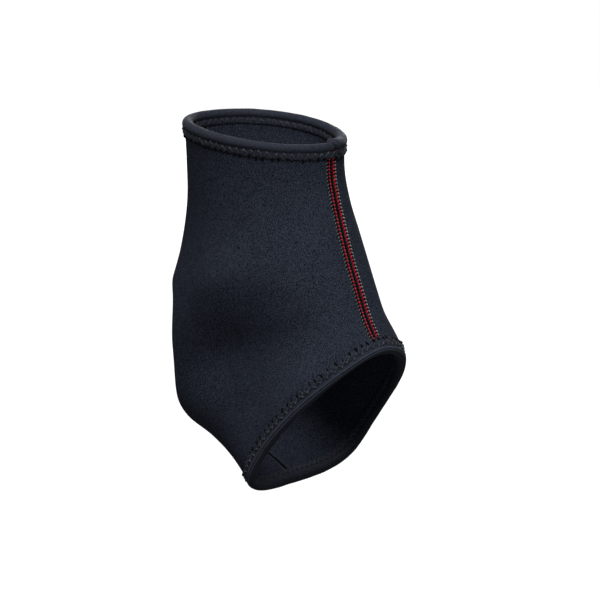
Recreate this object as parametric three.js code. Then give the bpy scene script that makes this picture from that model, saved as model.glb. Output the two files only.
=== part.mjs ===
// Ankle brace: an open-heel sleeve of neoprene, in the form that it has round a right ankle.
// Two side panels meet at a front, a back and a sole seam, and leave the heel bare between them.
// A folded tape binds each rim, round the leg and round the foot, and a flat stitched band covers each seam.
// Millimetres. +Z runs up the leg, the toes point to -Y and the wearer's left is +X.
// The origin is the centre of the ankle inside.
import * as THREE from "three";

// The sleeve's size, measured to the middle of its wall from the ankle's centre.
const TOP_HEIGHT = 81; // up to the rim round the leg
const TOP_SLOPE = 8; // how much lower that rim is in front than behind
const TOP_FRONT = 32.5; // forward to that rim's front
const INSTEP_FORWARD = 67; // forward to the rim round the foot, on the instep
const INSTEP_DROP = 21.5; // down to the same point
const HEEL_BACK = 73.5; // back to the heel's rearmost point
const SOLE_DROP = 97; // down to the rim round the foot, under the sole
const HALF_WIDTH = 36.5; // out to each side at the ankle bones
const BONE_HEIGHT = 3; // how far each ankle bone lifts the wall

// The wall, the binding tape and the seam bands.
const WALL = 3;
const GAP = 0.3; // between pieces that touch on the real thing
const TAPE = 0.9; // thickness of the binding tape
const TAPE_COVER = 5.2; // how far the tape reaches over each side of the wall
const BAND_WIDTH = 8; // of a seam band, across the seam
const BAND_EDGE = 0.35; // thickness of a seam band at its edges and in its middle groove
const BAND_ROW = 0.9; // and on its two rows of thread

// The heel opening, as shares: where it starts and ends along the sleeve, and how far it opens round it.
const HEEL_TOP_AT = 0.395;
const HEEL_SOLE_AT = 0.78;
const HEEL_OPENING = 0.315;
const HEEL_TAPER = 0.55; // how much less it opens towards the sole

// How finely each piece is divided.
const LEG_STEPS = 11;
const HEEL_STEPS = 16;
const FOOT_STEPS = 7;
const ROUND_STEPS = 24; // of each panel, and of half a binding
const ARC_STEPS = 4; // of a tape round the edge of the wall
const BAND_STEPS = 22; // of a seam band along its seam
const GIRTH_SAMPLES = 64; // of half a section

// Each row is a section through the sleeve, from the rim round the leg to the rim round the foot.
// front_run, front_fall: the front point, as shares of the way from the leg rim's front to the instep
// back_reach: the back point's distance behind the ankle's centre, as a share of HEEL_BACK
// back_fall: its drop, as a share of the way from the leg rim's back to the sole
// outer_width, inner_width: how far out each side of the foot goes, as shares of HALF_WIDTH
// widest_at: where that is, as a share of the way from front to back
// outer_full, inner_full, back_full: each side's front half and the back half. 2 is an ellipse, and more is squarer.
// bow: how far the section is drawn back up the sleeve between its widest part and its back, as a share of HALF_WIDTH
const COLUMNS = [
  "front_run", "front_fall", "back_reach", "back_fall", "outer_width", "inner_width", "widest_at",
  "outer_full", "inner_full", "back_full", "bow",
];
const SECTIONS = [
  [0.06, 0.0, 0.67, 0.0, 0.98, 0.98, 0.5, 1.9, 1.9, 2.0, 0.025],
  [0.08, 0.155, 0.675, 0.105, 0.93, 0.93, 0.49, 1.95, 1.95, 1.95, 0.01],
  [0.18, 0.305, 0.695, 0.23, 0.925, 0.92, 0.48, 2.05, 2.05, 1.85, 0.0],
  [0.3, 0.445, 0.77, 0.37, 0.95, 0.95, 0.48, 2.3, 2.3, 1.8, 0.0],
  [0.44, 0.59, 0.885, 0.508, 1.0, 1.0, 0.5, 2.45, 2.5, 1.8, 0.0],
  [0.585, 0.72, 1.0, 0.69, 0.985, 0.985, 0.53, 2.65, 2.8, 1.95, 0.0],
  [0.71, 0.83, 0.86, 0.832, 0.925, 0.96, 0.6, 2.85, 3.1, 1.9, 0.0],
  [0.835, 0.914, 0.38, 0.905, 0.95, 1.03, 0.68, 2.7, 3.05, 2.15, 0.02],
  [0.935, 0.968, 0.09, 0.95, 1.02, 1.16, 0.72, 2.3, 2.6, 2.6, 0.05],
  [1.0, 1.0, -0.15, 1.0, 1.085, 1.27, 0.73, 2.0, 2.1, 3.6, 0.09],
];

// Swells and hollows of the wall: the ankle bone of each side, and the hollow under it.
// side: -1 is the outer side of a right foot and 1 the inner. along, around and the spreads are shares of the sleeve.
// height is a share of BONE_HEIGHT.
const FORMS = [
  { side: -1, along: 0.42, around: 0.47, alongSpread: 0.1, aroundSpread: 0.15, height: 1.1 },
  { side: -1, along: 0.63, around: 0.46, alongSpread: 0.09, aroundSpread: 0.2, height: -1.0 },
  { side: 1, along: 0.37, around: 0.46, alongSpread: 0.09, aroundSpread: 0.14, height: 0.9 },
  { side: 1, along: 0.6, around: 0.55, alongSpread: 0.1, aroundSpread: 0.18, height: -0.8 },
];

// Brings the peak of share * share * (1 - share), two thirds of the way back, to 1.
const BOW_SCALE = 6.75;

// A smooth curve through the values of one column, read at a share from 0 to 1.
function column(name, share) {
  const index = COLUMNS.indexOf(name);
  const last = SECTIONS.length - 1;
  const place = share * last;
  const row = Math.min(last - 1, Math.max(0, Math.floor(place)));
  const t = place - row;
  const value = (i) => SECTIONS[Math.min(last, Math.max(0, i))][index];
  const [before, start, end, after] = [value(row - 1), value(row), value(row + 1), value(row + 2)];
  const leave = row === 0 ? end - start : (end - before) / 2;
  const arrive = row === last - 1 ? end - start : (after - start) / 2;
  const bend = 3 * (end - start) - 2 * leave - arrive;
  const twist = leave + arrive - 2 * (end - start);
  return start + t * (leave + t * (bend + t * twist));
}

// Half of a section as a line of points from the front seam to the back seam. side is -1 outside and 1 inside.
function halfSection(side, along) {
  const frontHeight = TOP_HEIGHT - TOP_SLOPE / 2;
  const backHeight = TOP_HEIGHT + TOP_SLOPE / 2;
  const front = new THREE.Vector3(
    0,
    -(TOP_FRONT + column("front_run", along) * (INSTEP_FORWARD - TOP_FRONT)),
    frontHeight - column("front_fall", along) * (frontHeight + INSTEP_DROP),
  );
  const back = new THREE.Vector3(
    0,
    HEEL_BACK * column("back_reach", along),
    backHeight - column("back_fall", along) * (backHeight + SOLE_DROP),
  );
  const middle = front.clone().lerp(back, column("widest_at", along));
  const chord = back.clone().sub(front);
  const upSleeve = new THREE.Vector3(0, -chord.z, chord.y).normalize();
  const width = HALF_WIDTH * column(side < 0 ? "outer_width" : "inner_width", along);
  const frontFull = column(side < 0 ? "outer_full" : "inner_full", along);
  const points = [];
  for (let i = 0; i <= GIRTH_SAMPLES; i++) {
    const angle = (Math.PI * i) / GIRTH_SAMPLES;
    const inFront = angle <= Math.PI / 2;
    const fullness = inFront ? frontFull : column("back_full", along);
    const out = width * Math.pow(Math.abs(Math.sin(angle)), 2 / fullness);
    const reach = Math.pow(Math.abs(Math.cos(angle)), 2 / fullness);
    const point = middle.clone().lerp(inFront ? front : back, reach);
    const share = point.distanceTo(front) / chord.length();
    const bow = HALF_WIDTH * column("bow", along) * BOW_SCALE * share * share * (1 - share);
    point.addScaledVector(upSleeve, bow);
    point.x = side * out;
    points.push(point);
  }
  return points;
}

// The middle of the wall. side is -1 or 1, along runs from the leg rim to the foot rim, around from front to back.
function middleOfWall(side, along, around) {
  const line = halfSection(side, along);
  const runs = [0];
  for (let i = 1; i < line.length; i++) runs.push(runs[i - 1] + line[i].distanceTo(line[i - 1]));
  const wanted = around * runs[runs.length - 1];
  let i = 1;
  while (i < line.length - 1 && runs[i] < wanted) i++;
  return line[i - 1].clone().lerp(line[i], (wanted - runs[i - 1]) / (runs[i] - runs[i - 1]));
}

// Length of half a section, from the front seam to the back seam.
function halfGirth(side, along) {
  const line = halfSection(side, along);
  return line.slice(1).reduce((sum, point, i) => sum + point.distanceTo(line[i]), 0);
}

const NUDGE = 0.004; // the share over which a slope of the surface is taken

// Two directions in the wall, down the sleeve and round it, and the outward normal.
function directions(side, along, around) {
  const from = Math.max(0, along - NUDGE);
  const to = Math.min(1, along + NUDGE);
  const down = middleOfWall(side, to, around).sub(middleOfWall(side, from, around));
  const perShare = down.length() / (to - from);
  const before = middleOfWall(around < NUDGE ? -side : side, along, Math.abs(around - NUDGE));
  const pastBack = around + NUDGE > 1;
  const after = middleOfWall(pastBack ? -side : side, along, pastBack ? 2 - around - NUDGE : around + NUDGE);
  const round = after.sub(before).normalize();
  down.normalize();
  const normal = new THREE.Vector3().crossVectors(round, down).multiplyScalar(-side).normalize();
  return { down, normal, perShare };
}

// How far the ankle bones and the hollows under them move the wall.
function swell(side, along, around) {
  return FORMS.filter((form) => form.side === side).reduce((sum, form) => {
    const a = (along - form.along) / form.alongSpread;
    const r = (around - form.around) / form.aroundSpread;
    return sum + BONE_HEIGHT * form.height * Math.exp(-a * a - r * r);
  }, 0);
}

// A point at a height over the middle of the wall.
function wallPoint(side, along, around, height) {
  const { normal } = directions(side, along, around);
  return middleOfWall(side, along, around).addScaledVector(normal, height + swell(side, along, around));
}

// A closed solid from rings of points, each joined to the next. A loop joins its last ring to its first.
// Without a loop, each end ring is closed by a strip, because its second half runs back beside its first.
function solidFromRings(name, rings, material, isLoop) {
  const size = rings[0].length;
  const faces = [];
  const quad = (a, b, c, d) => faces.push([a, b, c], [a, c, d]);
  rings.forEach((ring, r) => {
    if (r === rings.length - 1 && !isLoop) return;
    const [here, next] = [r * size, ((r + 1) % rings.length) * size];
    ring.forEach((_, i) => quad(here + i, next + i, next + ((i + 1) % size), here + ((i + 1) % size)));
  });
  if (!isLoop) {
    const end = (rings.length - 1) * size;
    for (let i = 0; i < size / 2 - 1; i++) {
      quad(i, i + 1, size - 2 - i, size - 1 - i);
      quad(end + size - 1 - i, end + size - 2 - i, end + i + 1, end + i);
    }
  }
  const points = rings.flat();
  const volume = faces.reduce((sum, [a, b, c]) => {
    return sum + points[a].dot(new THREE.Vector3().crossVectors(points[b], points[c]));
  }, 0);
  const outward = volume > 0 ? faces : faces.map(([a, b, c]) => [a, c, b]);
  const geometry = new THREE.BufferGeometry();
  geometry.setFromPoints(points);
  geometry.setIndex(outward.flat());
  geometry.computeVertexNormals();
  const mesh = new THREE.Mesh(geometry, material);
  mesh.name = name;
  return mesh;
}

const shares = (steps) => Array.from({ length: steps + 1 }, (_, i) => i / steps);

// Where a panel's rear edge lies round the sleeve: at the seam, or drawn forward by the heel opening.
function rearEdge(along) {
  const t = (along - HEEL_TOP_AT) / (HEEL_SOLE_AT - HEEL_TOP_AT);
  return t <= 0 || t >= 1 ? 1 : 1 - HEEL_OPENING * 2 * Math.sqrt(t * (1 - t)) * (1 - HEEL_TAPER * t * t);
}

// The places along the sleeve where a panel has a ring, closer together at both ends of the heel opening.
function panelStations() {
  const leg = shares(LEG_STEPS).map((t) => t * HEEL_TOP_AT);
  const heel = shares(HEEL_STEPS).map((t) => {
    return HEEL_TOP_AT + ((HEEL_SOLE_AT - HEEL_TOP_AT) * (1 - Math.cos(Math.PI * t))) / 2;
  });
  const foot = shares(FOOT_STEPS).map((t) => HEEL_SOLE_AT + t * (1 - HEEL_SOLE_AT));
  return [...leg, ...heel.slice(1, -1), ...foot];
}

// One side panel: a wall from the front seam to the back or sole seam, or to the heel opening.
function panel(name, side, material) {
  const rings = panelStations().map((along) => {
    const edge = rearEdge(along);
    const line = (height) => {
      return shares(ROUND_STEPS).map((t, i) => {
        const point = wallPoint(side, along, t * (1 - (1 - edge) * t * t), height);
        const onSeam = i === 0 || (i === ROUND_STEPS && edge === 1);
        point.x = side * (onSeam ? GAP / 2 : Math.max(GAP / 2, side * point.x));
        return point;
      });
    };
    return [...line(WALL / 2), ...line(-WALL / 2).reverse()];
  });
  return solidFromRings(name, rings, material, false);
}

// A point near a rim. rim is 0 at the leg and 1 at the foot, and depth is measured into the wall from its edge.
function rimPoint(rim, side, around, depth, height) {
  const { down, perShare } = directions(side, rim, around);
  const inward = rim === 0 ? 1 : -1;
  if (depth > 0) return wallPoint(side, rim + (inward * depth) / perShare, around, height);
  return wallPoint(side, rim, around, height).addScaledVector(down, inward * depth);
}

// Depth and height of the points of a tape's face that wraps the edge at a clearance from the middle of the wall.
function wrap(clearance) {
  const arc = shares(ARC_STEPS).map((t) => Math.PI * (0.5 - t));
  return [
    [TAPE_COVER, clearance],
    [TAPE_COVER / 2, clearance],
    ...arc.map((angle) => [-clearance * Math.cos(angle), clearance * Math.sin(angle)]),
    [TAPE_COVER / 2, -clearance],
    [TAPE_COVER, -clearance],
  ];
}

// The tape that is folded over a rim.
function binding(name, rim, material) {
  const inside = WALL / 2 + GAP;
  const profile = [...wrap(inside + TAPE), ...wrap(inside).reverse()];
  const ring = (side, around) => profile.map(([depth, height]) => rimPoint(rim, side, around, depth, height));
  const rings = [
    ...shares(ROUND_STEPS).map((around) => ring(1, around)),
    ...shares(ROUND_STEPS).slice(1, -1).reverse().map((around) => ring(-1, around)),
  ];
  return solidFromRings(name, rings, material, true);
}

// A flat band over a seam, with two rows of thread and a groove between them.
function seamBand(name, seam, from, to, material) {
  const across = [-1, -0.5, 0, 0.5, 1];
  const thickness = [BAND_EDGE, BAND_ROW, BAND_EDGE, BAND_ROW, BAND_EDGE];
  const rings = shares(BAND_STEPS).map((t) => {
    const along = from + t * (to - from);
    const place = (share, height) => {
      const side = share < 0 ? -1 : 1;
      const away = (Math.abs(share) * BAND_WIDTH) / 2 / halfGirth(side, along);
      return wallPoint(side, along, seam === "front" ? away : 1 - away, height);
    };
    const floor = WALL / 2 + GAP;
    const top = across.map((share, i) => place(share, floor + thickness[i]));
    return [...top, ...across.map((share) => place(share, floor)).reverse()];
  });
  return solidFromRings(name, rings, material, false);
}

// How far along the sleeve a rim's tape ends, with the gap that follows it.
function tapeEnd(rim, around) {
  const cover = (TAPE_COVER + GAP) / directions(1, rim, around).perShare;
  return rim === 0 ? cover : 1 - cover;
}

const neoprene = new THREE.MeshStandardMaterial({ color: 0x22262e, roughness: 0.85, metalness: 0 });
const tape = new THREE.MeshStandardMaterial({ color: 0x1f2229, roughness: 0.6, metalness: 0 });
const thread = new THREE.MeshStandardMaterial({ color: 0xb01020, roughness: 0.5, metalness: 0 });

const brace = new THREE.Group();
const beforeHeel = HEEL_TOP_AT - GAP / directions(1, HEEL_TOP_AT, 1).perShare;
const afterHeel = HEEL_SOLE_AT + GAP / directions(1, HEEL_SOLE_AT, 1).perShare;
brace.add(
  panel("outer_panel", -1, neoprene),
  panel("inner_panel", 1, neoprene),
  binding("leg_binding", 0, tape),
  binding("foot_binding", 1, tape),
  seamBand("front_seam", "front", tapeEnd(0, 0), tapeEnd(1, 0), thread),
  seamBand("back_seam", "back", tapeEnd(0, 1), beforeHeel, thread),
  seamBand("sole_seam", "back", afterHeel, tapeEnd(1, 1), thread),
);

export default brace;
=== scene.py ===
"""An open-heel ankle brace of fabric-faced neoprene, in the form that it has round a right ankle.

The sleeve follows the same ten sections as the CAD solids. Its outer side has a slightly higher ankle bone,
a deeper hollow and a swell beside the foot tape, to take the light. Two panels of heathered jersey on foam
meet at a front, a back and a sole seam. Each seam has two rows of red cord with grey thread loops outside
them, and each rim has a folded tape that a zigzag stitch holds.
"""
from collections import namedtuple
import math

import bpy
import numpy as np
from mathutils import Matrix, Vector


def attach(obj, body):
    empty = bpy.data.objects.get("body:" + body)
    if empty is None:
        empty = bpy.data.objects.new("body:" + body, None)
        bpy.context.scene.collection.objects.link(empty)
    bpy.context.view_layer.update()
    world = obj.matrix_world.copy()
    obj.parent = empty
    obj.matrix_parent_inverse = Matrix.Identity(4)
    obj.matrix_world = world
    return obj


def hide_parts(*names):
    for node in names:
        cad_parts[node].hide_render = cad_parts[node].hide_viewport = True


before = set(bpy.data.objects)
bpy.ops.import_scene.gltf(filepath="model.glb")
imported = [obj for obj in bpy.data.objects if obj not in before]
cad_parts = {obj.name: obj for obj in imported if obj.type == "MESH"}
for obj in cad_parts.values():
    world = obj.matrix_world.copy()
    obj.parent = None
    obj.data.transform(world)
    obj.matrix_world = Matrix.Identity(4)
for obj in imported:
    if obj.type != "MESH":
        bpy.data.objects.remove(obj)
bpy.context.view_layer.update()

MM = 0.001

# The sleeve's size in millimetres, measured to the middle of its wall from the ankle's centre.
TOP_HEIGHT = 81  # up to the rim round the leg
TOP_SLOPE = 8  # how much lower that rim is in front than behind
TOP_FRONT = 32.5  # forward to that rim's front
INSTEP_FORWARD = 67  # forward to the rim round the foot, on the instep
INSTEP_DROP = 21.5  # down to the same point
HEEL_BACK = 73.5  # back to the heel's rearmost point
SOLE_DROP = 97  # down to the rim round the foot, under the sole
HALF_WIDTH = 36.5  # out to each side at the ankle bones
BONE_HEIGHT = 3  # how far an ankle bone of height 1 lifts the wall
WALL = 3

# The heel opening, as shares: where it starts and ends along the sleeve, and how far it opens round it.
HEEL_TOP_AT = 0.395
HEEL_SOLE_AT = 0.78
HEEL_OPENING = 0.315
HEEL_TAPER = 0.55  # how much less it opens towards the sole

# Each row is a section through the sleeve, from the rim round the leg to the rim round the foot.
# front_run, front_fall: the front point, as shares of the way from the leg rim's front to the instep
# back_reach: the back point's distance behind the ankle's centre, as a share of HEEL_BACK
# back_fall: its drop, as a share of the way from the leg rim's back to the sole
# outer_width, inner_width: how far out each side of the foot goes, as shares of HALF_WIDTH
# widest_at: where that is, as a share of the way from front to back
# outer_full, inner_full, back_full: of each front half and the back half. 2 is an ellipse, more is squarer.
# bow: how far the section is drawn back up the sleeve behind its widest part, as a share of HALF_WIDTH
COLUMNS = [
    "front_run", "front_fall", "back_reach", "back_fall", "outer_width", "inner_width", "widest_at",
    "outer_full", "inner_full", "back_full", "bow",
]
SECTIONS = np.array([
    [0.06, 0.0, 0.67, 0.0, 0.98, 0.98, 0.5, 1.9, 1.9, 2.0, 0.025],
    [0.08, 0.155, 0.675, 0.105, 0.93, 0.93, 0.49, 1.95, 1.95, 1.95, 0.01],
    [0.18, 0.305, 0.695, 0.23, 0.925, 0.92, 0.48, 2.05, 2.05, 1.85, 0.0],
    [0.3, 0.445, 0.77, 0.37, 0.95, 0.95, 0.48, 2.3, 2.3, 1.8, 0.0],
    [0.44, 0.59, 0.885, 0.508, 1.0, 1.0, 0.5, 2.45, 2.5, 1.8, 0.0],
    [0.585, 0.72, 1.0, 0.69, 0.985, 0.985, 0.53, 2.65, 2.8, 1.95, 0.0],
    [0.71, 0.83, 0.86, 0.832, 0.925, 0.96, 0.6, 2.85, 3.1, 1.9, 0.0],
    [0.835, 0.914, 0.38, 0.905, 0.95, 1.03, 0.68, 2.7, 3.05, 2.15, 0.02],
    [0.935, 0.968, 0.09, 0.95, 1.02, 1.16, 0.72, 2.3, 2.6, 2.6, 0.05],
    [1.0, 1.0, -0.15, 1.0, 1.085, 1.27, 0.73, 2.0, 2.1, 3.6, 0.09],
])
BOW_SCALE = 6.75  # brings the peak of share * share * (1 - share) to 1

# Swells and hollows of the wall: the ankle bones, the hollows under them, and a swell beside the foot tape.
# Each has its side, its place along and around, its spread along and around, and its share of BONE_HEIGHT.
FORMS = [
    (-1, 0.42, 0.47, 0.1, 0.15, 1.45),
    (-1, 0.62, 0.5, 0.085, 0.2, -1.75),
    (-1, 0.9, 0.32, 0.13, 0.17, 0.7),
    (1, 0.37, 0.46, 0.09, 0.14, 0.9),
    (1, 0.6, 0.55, 0.1, 0.18, -0.8),
]

# The form

def unit(vectors):
    """The same directions with length 1."""
    return vectors / np.linalg.norm(vectors, axis=-1, keepdims=True)


def runs_along(line):
    """The distance from a line's start to each of its points, along the line."""
    return np.r_[0, np.cumsum(np.linalg.norm(np.diff(line, axis=0), axis=1))]


def column(name, share):
    """A smooth curve through the values of one column, read at a share from 0 to 1."""
    values = SECTIONS[:, COLUMNS.index(name)]
    last = len(values) - 1
    row = min(last - 1, max(0, int(share * last)))
    t = share * last - row
    start, end = values[row], values[row + 1]
    leave = end - start if row == 0 else (end - values[row - 1]) / 2
    arrive = end - start if row == last - 1 else (values[row + 2] - start) / 2
    bend = 3 * (end - start) - 2 * leave - arrive
    twist = leave + arrive - 2 * (end - start)
    return start + t * (leave + t * (bend + t * twist))


def half_section(side, along, samples=192):
    """Half of a section, from front seam to back seam. side is -1 on the outer side and 1 on the inner."""
    front_height, back_height = TOP_HEIGHT - TOP_SLOPE / 2, TOP_HEIGHT + TOP_SLOPE / 2
    front = np.array([
        0,
        -(TOP_FRONT + column("front_run", along) * (INSTEP_FORWARD - TOP_FRONT)),
        front_height - column("front_fall", along) * (front_height + INSTEP_DROP),
    ])
    back = np.array([
        0,
        HEEL_BACK * column("back_reach", along),
        back_height - column("back_fall", along) * (back_height + SOLE_DROP),
    ])
    middle = front + (back - front) * column("widest_at", along)
    chord = back - front
    length = np.linalg.norm(chord)
    up_sleeve = np.array([0, -chord[2], chord[1]]) / length
    width = HALF_WIDTH * column("outer_width" if side < 0 else "inner_width", along)
    angle = np.linspace(0, math.pi, samples + 1)
    in_front = angle <= math.pi / 2 + 1e-9
    front_full = column("outer_full" if side < 0 else "inner_full", along)
    fullness = np.where(in_front, front_full, column("back_full", along))
    out = width * np.abs(np.sin(angle)) ** (2 / fullness)
    reach = np.abs(np.cos(angle)) ** (2 / fullness)
    points = middle + np.where(in_front[:, None], front - middle, back - middle) * reach[:, None]
    share = np.linalg.norm(points - front, axis=1) / length
    bow = HALF_WIDTH * column("bow", along) * BOW_SCALE * share**2 * (1 - share)
    points = points + bow[:, None] * up_sleeve
    points[:, 0] = side * out
    return points


class Sleeve:
    """One side of the sleeve: a fine grid of places and outward normals, read at shares along and around."""

    ALONG, AROUND = 401, 401  # lines of the grid
    BESIDE = 3  # lines mirrored past each seam
    STEP = 0.005  # the share of the sleeve at a rim that gives the way past it

    def __init__(self, side):
        self.shares = np.linspace(0, 1, self.ALONG)
        around = np.linspace(0, 1, self.AROUND)
        grid = np.zeros((self.ALONG, self.AROUND, 3))
        self.girth = np.zeros(self.ALONG)
        for i, along in enumerate(self.shares):
            line = half_section(side, along)
            runs = runs_along(line)
            self.girth[i] = runs[-1]
            for axis in range(3):
                grid[i, :, axis] = np.interp(around * runs[-1], runs, line[:, axis])
        self.normal = self.normals(grid, side)
        height = np.zeros((self.ALONG, self.AROUND))
        for form_side, at_along, at_around, spread_along, spread_around, tall in FORMS:
            if form_side == side:
                a = (self.shares[:, None] - at_along) / spread_along
                r = (around - at_around) / spread_around
                height += BONE_HEIGHT * tall * np.exp(-a * a - r * r)
        self.middle = grid + self.normal * height[..., None]
        self.per_share = np.linalg.norm(np.gradient(self.middle, 1 / (self.ALONG - 1), axis=0), axis=2)

    def normals(self, grid, side):
        """Outward normals of a grid. Its mirrored neighbours past both seams keep them level there."""
        mirror = grid * np.array([-1, 1, 1])
        before, after = mirror[:, self.BESIDE:0:-1], mirror[:, -2:-2 - self.BESIDE:-1]
        wide = np.concatenate([before, grid, after], axis=1)
        down = np.gradient(wide, axis=0)[:, self.BESIDE:-self.BESIDE]
        across = np.gradient(wide, axis=1)[:, self.BESIDE:-self.BESIDE]
        return unit(np.cross(across, down) * -side)

    def read(self, table, along, around):
        """A table's values at shares along and around, worked out between the lines of the grid."""
        a = np.clip(np.asarray(along, float), 0, 1) * (self.ALONG - 1)
        r = np.clip(np.asarray(around, float), 0, 1) * (self.AROUND - 1)
        a, r = np.broadcast_arrays(a, r)
        i, j = np.minimum(a.astype(int), self.ALONG - 2), np.minimum(r.astype(int), self.AROUND - 2)
        u, v = a - i, r - j
        if table.ndim == 3:
            u, v = u[..., None], v[..., None]
        return (table[i, j] * (1 - u) * (1 - v) + table[i + 1, j] * u * (1 - v)
                + table[i, j + 1] * (1 - u) * v + table[i + 1, j + 1] * u * v)

    def place(self, along, around, height=0.0):
        """Places at a height over the middle of the wall. along may run a little past either rim."""
        along = np.asarray(along, float)
        normal = self.read(self.normal, along, around)
        points = self.read(self.middle, along, around) + normal * np.asarray(height, float)[..., None]
        past = along - np.clip(along, 0, 1)
        if np.any(past):
            near = np.where(past < 0, 0.0, 1 - self.STEP)
            down = self.read(self.middle, near + self.STEP, around) - self.read(self.middle, near, around)
            points = points + down / self.STEP * past[..., None]
        return points

    def half_girth(self, along):
        """The distance from the front seam to the back seam round this side."""
        return np.interp(along, self.shares, self.girth)


OUTER, INNER = Sleeve(-1), Sleeve(1)
SIDES = {-1: OUTER, 1: INNER}


def place_across(seam, along, away, height):
    """Places on a seam's own strip. away is the distance from the seam, below 0 on the outer side."""
    along, away, height = np.broadcast_arrays(*(np.asarray(v, float) for v in (along, away, height)))
    out = np.zeros(along.shape + (3,))
    for side, sleeve in SIDES.items():
        here = away < 0 if side < 0 else away >= 0
        share = np.abs(away[here]) / sleeve.half_girth(along[here])
        out[here] = sleeve.place(along[here], share if seam == "front" else 1 - share, height[here])
    return out


# Meshes

def mesh_object(name, points, faces, uv=None, smooth=True):
    """An object from points and faces, with its own UV map where uv is given. Both are in millimetres."""
    mesh = bpy.data.meshes.new(name)
    mesh.from_pydata((np.asarray(points) * MM).tolist(), [], [tuple(int(i) for i in f) for f in faces])
    mesh.polygons.foreach_set("use_smooth", [smooth] * len(mesh.polygons))
    if uv is not None:
        layer = mesh.uv_layers.new(name="cloth")
        loops = np.zeros(len(mesh.loops), dtype=np.int32)
        mesh.loops.foreach_get("vertex_index", loops)
        layer.data.foreach_set("uv", np.asarray(uv, float)[loops].ravel())
    mesh.update()
    obj = bpy.data.objects.new(name, mesh)
    bpy.context.scene.collection.objects.link(obj)
    return obj


def grid_faces(rows, size, closed_rows=False):
    """Faces of a grid of rings, row by row."""
    here = np.arange(rows if closed_rows else rows - 1)[:, None] * size
    there = (here + size) % (rows * size)
    c = np.arange(size)[None, :]
    across = (c + 1) % size
    return np.stack([here + c, there + c, there + across, here + across], axis=-1).reshape(-1, 4)


def point_inwards(points, faces):
    """Whether the faces of a surface hold a volume below 0."""
    p = points[faces]
    volume = np.einsum("ij,ij->", p[:, 0], np.cross(p[:, 1], p[:, 2]) + np.cross(p[:, 2], p[:, 3]))
    return volume <= 0


def hoop_faces(points, rows, size):
    """Outward faces of a row of rings that closes on itself."""
    faces = grid_faces(rows, size, closed_rows=True)
    return faces[:, ::-1] if point_inwards(points, faces) else faces


def tube_faces(points, rows, size):
    """Outward faces of a row of rings, followed by a cap at each end."""
    faces = grid_faces(rows, size)
    first, last = np.arange(size), np.arange(size) + (rows - 1) * size
    if point_inwards(points, faces):
        faces, last = faces[:, ::-1], last[::-1]
    else:
        first = first[::-1]
    return [*faces, first, last]


def blank_mesh(name, points, vectors, stretch):
    """Loose points in millimetres with named directions and lengths, for a tree of nodes to build on."""
    obj = mesh_object(name, points, [])
    for key, values in vectors.items():
        layer = obj.data.attributes.new(key, "FLOAT_VECTOR", "POINT")
        layer.data.foreach_set("vector", np.asarray(values, float).ravel())
    layer = obj.data.attributes.new("stretch", "FLOAT", "POINT")
    layer.data.foreach_set("value", np.asarray(stretch, float))
    return obj


def joined(name, pieces):
    """Several pieces as one object, with all their finishes."""
    for obj in bpy.context.selected_objects:
        obj.select_set(False)
    for obj in pieces:
        obj.select_set(True)
    bpy.context.view_layer.objects.active = pieces[0]
    with bpy.context.temp_override(active_object=pieces[0], selected_editable_objects=pieces):
        bpy.ops.object.join()
    pieces[0].name = pieces[0].data.name = name
    return pieces[0]


# Nodes

def add(tree, kind, inputs=(), **settings):
    """A node with its settings, and with values or links on its inputs, named or numbered."""
    made = tree.nodes.new(kind)
    for key, value in settings.items():
        setattr(made, key, value)
    for key, value in dict(inputs).items():
        if isinstance(value, bpy.types.NodeSocket):
            tree.links.new(value, made.inputs[key])
        else:
            made.inputs[key].default_value = value
    return made


def maths(tree, operation, a, b=0.0, c=0.0, clamp=False):
    """The result of one Math node."""
    return add(tree, "ShaderNodeMath", {0: a, 1: b, 2: c}, operation=operation, use_clamp=clamp).outputs[0]


def colours(tree, factor, first, second):
    """Two colours mixed by a mask."""
    return add(tree, "ShaderNodeMix", {0: factor, 6: first, 7: second}, data_type="RGBA").outputs[2]


def noise(tree, vector, scale, detail, roughness):
    """The value of a Noise Texture."""
    inputs = {"Vector": vector, "Scale": scale, "Detail": detail, "Roughness": roughness}
    return add(tree, "ShaderNodeTexNoise", inputs).outputs[0]


def group(name, inputs, outputs):
    """An empty shader group with named inputs and outputs."""
    tree = bpy.data.node_groups.new(name, "ShaderNodeTree")
    for key, value in inputs.items():
        kind = "NodeSocketVector" if value is None else "NodeSocketFloat"
        socket = tree.interface.new_socket(key, in_out="INPUT", socket_type=kind)
        if value is not None:
            socket.default_value = value
    for key in outputs:
        tree.interface.new_socket(key, in_out="OUTPUT", socket_type="NodeSocketFloat")
    return tree, tree.nodes.new("NodeGroupInput").outputs, tree.nodes.new("NodeGroupOutput").inputs


# Effects that several finishes use

FLECK_CONTRAST = 11.0
FLECK_SHIFT = -5.25  # brings the middle tone back between the dark and the light fibre
PATCH_SHARE = 0.5
LINT_SCALE = 170.0
LINT_SIZE = 0.035  # of a speck of lint, as a share of the space between specks


def heather_group():
    """Flecks of lighter and darker fibre, as a mask for the base colour, and a few specks of lint."""
    tree, given, result = group(
        "heather", {"Vector": None, "Fibre": 2600.0, "Patch": 90.0}, ["Fleck", "Lint"])
    fibre = noise(tree, given["Vector"], given["Fibre"], 2.0, 0.7)
    patch = noise(tree, given["Vector"], given["Patch"], 3.0, 0.6)
    fleck = maths(tree, "MULTIPLY_ADD", fibre, FLECK_CONTRAST, FLECK_SHIFT)
    tree.links.new(maths(tree, "MULTIPLY_ADD", patch, PATCH_SHARE, fleck, clamp=True), result["Fleck"])
    cells = add(tree, "ShaderNodeTexVoronoi", {"Vector": given["Vector"], "Scale": LINT_SCALE})
    tree.links.new(maths(tree, "LESS_THAN", cells.outputs["Distance"], LINT_SIZE), result["Lint"])
    return tree


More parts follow.
